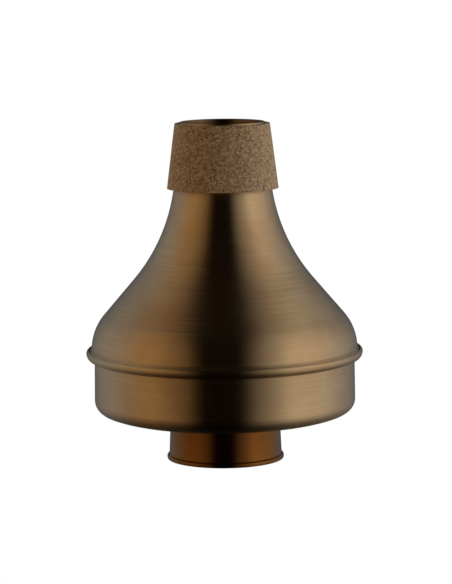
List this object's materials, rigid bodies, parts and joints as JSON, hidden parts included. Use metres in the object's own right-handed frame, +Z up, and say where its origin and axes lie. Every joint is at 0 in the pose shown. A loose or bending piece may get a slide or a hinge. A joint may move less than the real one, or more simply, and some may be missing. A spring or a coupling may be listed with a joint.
{
  "type": "trombone wah-wah mute",
  "caption": "Spun brass trombone mute: a flared body with a cork seat on its neck, over a pan whose friction socket holds a sliding stem with a cup.",
  "frame": {"origin": "centre of the underside of the stem cup's rim, the ring that the mute stands on", "axes": "+Z up along the axis of the whole mute, from the cup towards the cork; X and Y are equivalent"},
  "size_m": [0.145, 0.145, 0.1772],
  "materials": {
    "shell_brass": "antique brass, satin, brushed round the axis",
    "pan_brass": "antique brass, satin, brushed round the axis",
    "seal_compound": "matt sealing compound",
    "seat_cork": "agglomerated cork, ground, matt",
    "socket_brass": "antique brass, satin",
    "bush_cork": "cork, matt",
    "tube_brass": "antique brass, satin",
    "cup_brass": "dark antique brass, satin, brushed round the axis"
  },
  "bodies": {
    "body": {"upper_shell": "shell_brass", "lower_shell": "pan_brass", "seam_seal": "seal_compound", "cork_collar": "seat_cork", "stem_socket": "socket_brass", "socket_lining": "bush_cork"},
    "stem": {"stem_tube": "tube_brass", "stem_cup": "cup_brass"}
  },
  "joints": [
    {"name": "stem_slide", "type": "slide", "parent": "body", "child": "stem", "axis": [0, 0, -1], "range_m": [0, 0.1]}
  ]
}
